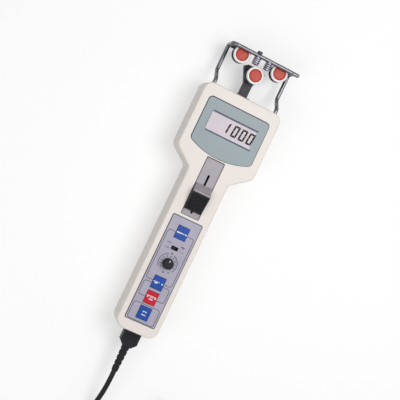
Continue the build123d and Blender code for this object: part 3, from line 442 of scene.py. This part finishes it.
def turned(profile, sides, place):
    """A turned form with a profile of (distance along the axis, radius).

    place(along, a, b) gives a point, with a and b measured square to the axis.
    """
    points = []
    for along, radius in profile:
        for i in range(sides):
            angle = 2 * math.pi * i / sides
            points.append(place(along, radius * math.cos(angle), radius * math.sin(angle)))
    last = len(points) - sides
    faces = [list(reversed(range(sides))), list(range(last, last + sides))]
    for row in range(0, last, sides):
        for i in range(sides):
            a, b = row + i, row + (i + 1) % sides
            faces.append([a, b, b + sides, a + sides])
    return points, faces


def add_piece(name, form, look, body="housing"):
    """A piece on a body, with one of the materials."""
    points, faces = form
    mesh = bpy.data.meshes.new(name)
    mesh.from_pydata([[c * MM for c in p] for p in points], [], faces)
    mesh.validate()
    mesh.materials.append(MATERIALS[look])
    piece = add_object(name, mesh)
    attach(piece, body)
    return piece


def soften(piece, width):
    """Small rounded edges, of a width in millimetres."""
    edge = piece.modifiers.new("edge", "BEVEL")
    edge.width, edge.segments, edge.limit_method = width * MM, 2, "ANGLE"
    edge.angle_limit = math.radians(35)


# Cord: the same route as the solids, then the turns of the coil

def coil_turns():
    """Points round and round the coil, which moves on to the next cell after each turn."""
    cells = (
        (31, 3.5), (26, 3.5), (21, 3.5), (21, 8.5), (21, 13.5), (26, 13.5), (26, 8.5), (31, 8.5),
        (31, 13.5),
    )
    per_cell, step, change = 340.0, 15.0, 40.0
    points = []
    for i in range(int(per_cell * len(cells) / step) + 1):
        at = i * step
        k = min(int(at / per_cell + 0.5), len(cells) - 1)
        share = 0.0 if k == 0 else min(1.0, max(0.0, (at - k * per_cell) / change + 0.5))
        share = share * share * (3 - 2 * share)
        before, after = cells[max(k - 1, 0)], cells[k]
        radius, z = [a + (b - a) * share for a, b in zip(before, after)]
        angle = math.radians(180 + at)
        points.append((radius * math.cos(angle), radius * math.sin(angle), z))
    return points


def make_cord():
    boot_x, boot_y, boot_z = BOOT_END
    coil_x, coil_y = COIL_MIDDLE
    route = [
        (0.0, 0.0, boot_z), (0.0, -16.0, boot_z), (-0.7, -33.0, 13.6), (-2.1, -51.0, 5.6),
        (-4.1, -71.0, 2.8), (-6.3, -91.0, 3.1),
    ]
    tail = [(31.4, 14.0, 12.6), (32.9, 29.0, 9.4), (34.6, 43.0, 7.6), (34.6, 56.0, 7.6)]
    points = [(boot_x + x, boot_y + y, z) for x, y, z in route]
    points += [(coil_x + x, coil_y + y, z) for x, y, z in coil_turns() + tail]

    data = bpy.data.curves.new("cord", "CURVE")
    data.dimensions = "3D"
    data.bevel_depth = CORD_DIAMETER / 2 * MM
    data.bevel_resolution = 5
    data.resolution_u = 6
    data.use_fill_caps = True
    spline = data.splines.new("NURBS")
    spline.points.add(len(points) - 1)
    for spot, point in zip(spline.points, points):
        spot.co = (*[c * MM for c in point], 1)
    spline.order_u = 3
    spline.use_endpoint_u = True
    data.materials.append(MATERIALS["black_rubber"])
    cord = add_object("cord", data)
    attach(cord, "housing")
    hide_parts("cord_lead", "cord_coil", "cord_tail")


# Forms that stand for plainer solids

def make_springs():
    """The springs round the guard's legs, as one mesh that rides on the carriage; the real springs
    shorten as it rises.
    """
    springs = add_object("leg_springs", nodes["return_springs"].data.copy())
    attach(springs, "carriage")
    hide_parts("return_springs")
    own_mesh(springs)


def make_arm():
    """The measuring arm, flared to a wide head behind the centre roller."""
    back_z, front_z, foot_down, half_width = 11.5, 16.5, 28.0, 4.6
    roller = HEAD_TOP + CENTRE_ROLLER_UP
    right = [
        (half_width, from_top(foot_down)), (half_width, roller - 9.0),
        (11.4, roller + 6.0), (7.5, roller + 8.8),
    ]
    form = prism(right + mirrored(right), back_z, front_z)
    arm = add_piece("arm_plate", form, "dark_steel", "arm")
    soften(arm, 0.4)
    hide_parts("measuring_arm")


def make_posts():
    """The two ribbed posts under the crossbar."""
    ribs, sides, post_x = 4, 28, 6.2
    rib_r, groove_r, foot_r, neck_r = 3.7, 2.8, 2.3, 1.9
    foot, top = HEAD_TOP + 32.3, HEAD_TOP + CROSSBAR_UP - 2.05
    pitch = (top - foot) / ribs
    profile = [(foot, foot_r)]
    for i in range(ribs):
        shape = ((0.08, groove_r), (0.3, rib_r), (0.7, rib_r), (0.94, groove_r))
        profile += [(foot + (i + share) * pitch, radius) for share, radius in shape]
    profile += [(top, neck_r), (top + 0.85, neck_r)]
    forms = [
        turned(profile, sides, lambda along, a, b: (x + a, along, CROSSBAR_Z - b))
        for x in (-post_x, post_x)
    ]
    posts = add_piece("ribbed_posts", joined(forms), "post_steel", "carriage")
    soften(posts, 0.12)
    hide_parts("guide_posts")


def make_brackets():
    """The plates behind the crossbar that carry the outer axles."""
    back_z, front_z, eye_r, arm_end_x, arm_height = 11.0, 15.0, 4.4, 31.4, 3.4
    roller, high = HEAD_TOP + OUTER_ROLLER_UP, HEAD_TOP + 43.4
    right = arc(OUTER_ROLLER_X, roller, eye_r, 180, 360, 14) + [
        (OUTER_ROLLER_X + eye_r, high - arm_height), (arm_end_x, high - arm_height),
        (arm_end_x, high), (OUTER_ROLLER_X - eye_r, high),
    ]
    form = prisms([mirrored(right), right], back_z, front_z)
    plates = add_piece("bracket_plates", form, "dark_steel", "carriage")
    soften(plates, 0.3)
    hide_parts("roller_brackets")


def make_slider():
    """The thumb slider: a metal ramp up to its stop and a ribbed grip that slopes away from it."""
    stop, end, plate_z = 100.6, 119.0, 36.6
    ramp = [
        (end, 35.1), (end, plate_z), (stop, plate_z), (stop, 43.5), (99.2, 43.5), (92.4, 35.9),
        (92.0, 35.1),
    ]
    form = side_form(ramp, SLIDER_HALF_WIDTH)
    metal = add_piece("slider_ramp", form, "channel_metal", "carriage")
    soften(metal, 0.25)
    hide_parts("slider_plate")

    ribs, rib_depth, first, last, high, low = 7, 0.9, 102.2, 118.4, 44.1, 38.4
    slope = [(stop, plate_z), (stop, high), (first - 0.4, high + 0.1)]
    for i in range(ribs):
        for share, depth in ((0.0, 0.0), (0.12, rib_depth), (0.42, rib_depth), (0.54, 0.0)):
            along = (i + share) / ribs
            slope.append((first + (last - first) * along, high + (low - high) * along - depth))
    slope += [(last, low), (end, low - 0.6), (end, plate_z)]
    form = side_form(slope, SLIDER_HALF_WIDTH)
    grip = add_piece("ribbed_grip", form, "black_plastic", "carriage")
    soften(grip, 0.15)
    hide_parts("thumb_grip")


def make_bar_end():
    """The capped end of the crossbar, past the right leg."""
    y = HEAD_TOP + CROSSBAR_UP
    profile = [(31.0, 1.95), (35.6, 2.0), (37.2, 1.9), (38.3, 1.1)]
    form = turned(profile, 20, lambda along, a, b: (along, y + a, CROSSBAR_Z + b))
    end = add_piece("bar_end", form, "chrome_rod", "carriage")
    soften(end, 0.15)


# Prints, thin trim and painted shade lines

def display_loop():
    """The display panel's outline, with its bowed lower edge."""
    top, side_end, half_top, half_low, bow, corner_r = 12.0, 56.3, 32.5, 32.7, 7.7, 4.0
    radius = (half_low ** 2 + bow ** 2) / (2 * bow)
    reach = math.degrees(math.asin(half_low / radius))
    lower = arc(0, from_top(side_end) - bow + radius, radius, 270 - reach, 270 + reach, 20)
    upper = [(half_top, from_top(top)), (-half_top, from_top(top))]
    return rounded_loop(lower + upper, corner_r)


def digit(x, y, shown):
    """The bars of one seven-segment digit, leaning to the right."""
    half_width, half_height, stroke, lean, gap = 3.05, 5.85, 1.8, 0.11, 0.12
    inner_x, inner_y = half_width - stroke, half_height - stroke
    bars = []
    for name in shown:
        side = 1 if name in "bc" else -1
        way = 1 if name in "abf" else -1
        if name in "ad":
            a, b = half_width - gap, inner_x - gap
            edge = [(-a, half_height), (a, half_height), (b, inner_y), (-b, inner_y)]
            edge = [(px, way * py) for px, py in edge]
        else:
            edge = [
                (half_width, gap), (half_width, half_height - gap), (inner_x, inner_y - gap),
                (inner_x, gap),
            ]
            edge = [(side * px, way * py) for px, py in edge]
        bars.append([(x + px + lean * py, y + py) for px, py in edge])
    return bars


def print_and_shade_display():
    loop = display_loop()
    form = prism(loop, FACE_Z - 0.1, FACE_Z + 0.03)
    add_piece("display_face", form, "panel_blue_grey")
    window = rounded_box(0, from_top(33.6), 48.4, 18.1, 0.5, 3)
    add_piece("lcd_face", prism(window, FACE_Z, FACE_Z + 0.05), "lcd_grey")
    # A grey line round the LCD window, thicker on the left and top: painted shade of the window's
    # recess.
    form = ring_line(window, 0.12, 0.16, (0.1, -0.1), FACE_Z - 0.05, FACE_Z + 0.07)
    add_piece("lcd_recess_shade", form, "ink_and_shade_grey")
    # A dark line round the display panel, thicker on the left and top: painted shade of the panel's
    # recess.
    form = ring_line(loop, 0.32, 0.32, (0.2, -0.2), FACE_Z - 0.1, FACE_Z + 0.06)
    add_piece("display_recess_shade", form, "ink_and_shade_black")
    rules = [[(-23.3, from_top(down)), (25.4, from_top(down))] for down in (23.6, 43.5)]
    form = ribbons(rules, 0.85, FACE_Z - 0.02, FACE_Z + 0.09)
    add_piece("display_rules", form, "ink_blue")

    digits = ((-5.3, "bc"), (4.6, "abcdef"), (12.8, "abcdef"), (21.0, "abcdef"))
    bars = [edge for x, shown in digits for edge in digit(x, from_top(33.3), shown)]
    form = prisms(bars, FACE_Z, FACE_Z + 0.08)
    add_piece("display_digits", form, "ink_and_shade_black")


def keypad_frames():
    """The bent lines that group the upper three keys, each from one key's side to the next."""
    side, bend, key_side = 13.5, 2.4, 6.3
    lines = []
    for way in (-1, 1):
        inward = way * (side - bend)
        for start, end in ((143.0, 193.6), (196.2, 210.6)):
            upper, lower = from_top(start), from_top(end)
            line = [(way * key_side, upper)]
            line += arc(inward, upper - bend, bend, 90, 90 - way * 90, 5)
            line += arc(inward, lower + bend, bend, 90 - way * 90, 90 - way * 180, 5)
            lines.append(line + [(way * key_side, lower)])
    return lines


def print_and_shade_keypad():
    layer = KEYPAD_Z - 0.05, KEYPAD_Z + 0.03
    line = 0.5

    def add_print(name, form, look="ink_and_shade_grey"):
        add_piece(name, form, look)

    # A dark joint line round the keypad, made thicker on the left and top as painted shade of its
    # recess.
    edge = rounded_box(0, from_top(127.8 + 54.2), 31.2, 108.4, 1.5)
    form = ring_line(edge, 0.25, 0.4, (0.1, -0.06), KEYPAD_Z - 0.2, KEYPAD_Z + 0.04)
    add_piece("keypad_joint_and_shade", form, "ink_and_shade_black")
    add_print("keypad_frames", ribbons(keypad_frames(), line, *layer))
    low_frame = rounded_box(0, from_top(226.6), 27.2, 17.0, 2.4)
    add_print("keypad_low_frame", ring_line(low_frame, line / 2, line / 2, (0, 0), *layer))

    dial = from_top(KNOB_DOWN)
    arcs = [arc(0, dial, 9.4, start, end, 16) for start, end in ((106, 218), (-40, 76))]
    add_print("dial_arcs", ribbons(arcs, line, *layer))
    ticks = []
    for i in range(11):
        angle = math.radians(225 - 27 * i)
        ticks.append([(r * math.cos(angle), dial + r * math.sin(angle)) for r in (6.5, 7.9)])
    add_print("dial_ticks", ribbons(ticks, 0.6, *layer), "ink_and_shade_black")

    switch = from_top(SWITCH_DOWN)
    marks = [
        [(-0.9, dial + 10.9), (0.0, dial + 8.7), (0.9, dial + 10.9)],
        bar(-0.5, dial - 9.3, 1.7, 1.2),
        bar(4.6, dial - 7.9, 1.7, 0.4),
        bar(4.6, dial - 7.9, 0.4, 1.7),
        *[bar(-7.3 + x, switch + 3.6, 0.6, 1.1) for x in (-1.8, -0.6, 0.6, 1.8)],
        bar(-7.3, switch - 1.6, 3.8, 0.5),
        bar(7.1, switch + 3.7, 3.6, 0.9),
        bar(7.6, switch + 2.3, 2.4, 0.4),
        bar(9.2, switch - 0.8, 0.9, 0.9),
    ]
    add_print("keypad_marks", prisms(marks, *layer))
    ring = arc(6.2, switch - 0.8, 1.2, 0, 345, 23)
    add_print("keypad_ring", ring_line(ring, 0.18, 0.18, (0, 0), *layer), "ink_red")
    # A black band inside the switch's opening: painted shade of the opening's recess.
    opening = rounded_box(0, switch, 6.6, 3.8, 0.7)
    form = ring_line(opening, 0.0, 0.75, (0, 0), KEYPAD_Z - 0.1, KEYPAD_Z + 0.1)
    add_piece("switch_opening_shade", form, "ink_and_shade_black")


def print_keys():
    """White marks on the key tops and the knob, which travel with them."""
    marks = {
        "upper_key": [
            [(-5.3, -1.1), (-3.4, -1.1), (2.6, -0.5), (2.6, 0.2), (-3.4, 0.4), (-5.3, 0.4)],
            bar(4.2, -0.2, 1.6, 1.5),
        ],
        "middle_key": [
            bar(-2.0, 0.7, 6.4, 0.6), bar(-2.4, -0.4, 3.0, 1.3), bar(4.0, 0.3, 1.5, 1.4),
        ],
        "red_key": [
            bar(-0.2, 1.6, 9.6, 0.7), [(-2.2, -2.0), (2.4, -2.0), (1.6, -0.9), (-1.4, -0.9)],
            bar(-3.9, 0.4, 1.6, 1.1), bar(3.9, 0.4, 1.6, 1.1), bar(0.1, 0.4, 3.4, 0.6),
        ],
        "lower_key": [
            bar(0.1, 1.7, 4.2, 0.7), bar(-1.3, 1.0, 0.9, 0.9), bar(1.5, 1.0, 0.9, 0.9),
            bar(0.0, -1.7, 4.2, 1.0),
        ],
    }
    for key, shapes in marks.items():
        moved = [[(x, y + from_top(KEY_DOWN[key])) for x, y in shape] for shape in shapes]
        form = prisms(moved, KEY_Z - 0.05, KEY_Z + 0.04)
        add_piece(key + "_mark", form, "ink_white", key)
    pointer = bar(0, from_top(KNOB_DOWN) + 2.75, 0.78, 2.1)
    form = prism(pointer, KNOB_Z - 0.5, KNOB_Z - 0.03)
    add_piece("knob_pointer", form, "ink_white", "adjust_knob")


def shade_channel_edge():
    """A dark line round the slider's channel, thicker on the left and top: painted shade of the
    channel's recess.
    """
    edge = rounded_box(0, from_top(65.8 + 29.5), 18.3, 59.0, 0.8)
    outer = spread(edge, 0.4, (-0.2, 0.2))
    form = ring_line(outer, 0.0, 0.45, (0.2, -0.2), FACE_Z - 0.1, FACE_Z + 0.04)
    add_piece("channel_edge_shade", form, "ink_and_shade_black")


def dress_back():
    """Finger ridges on the battery cover."""
    ridges = [bar(0, from_top(224.0 - 2.2 * i), 14.0 - 1.6 * i, 0.7) for i in range(5)]
    add_piece("cover_ridges", prisms(ridges, -0.02, 0.06), "ink_and_shade_grey")


make_camera()
make_cord()
dress_nodes()
make_springs()
make_arm()
make_posts()
make_brackets()
make_slider()
make_bar_end()
print_and_shade_display()
print_and_shade_keypad()
print_keys()
shade_channel_edge()
dress_back()
make_world(strength=0.4)
make_light("key", (0.3, 0.2, 0.88), 0.6, 4.0)
make_light("fill", (-0.5, -0.4, 0.7), 0.6, 1.5)
make_floor(shade=0.62, glow=0.44)
bpy.context.scene.view_settings.view_transform = "Standard"
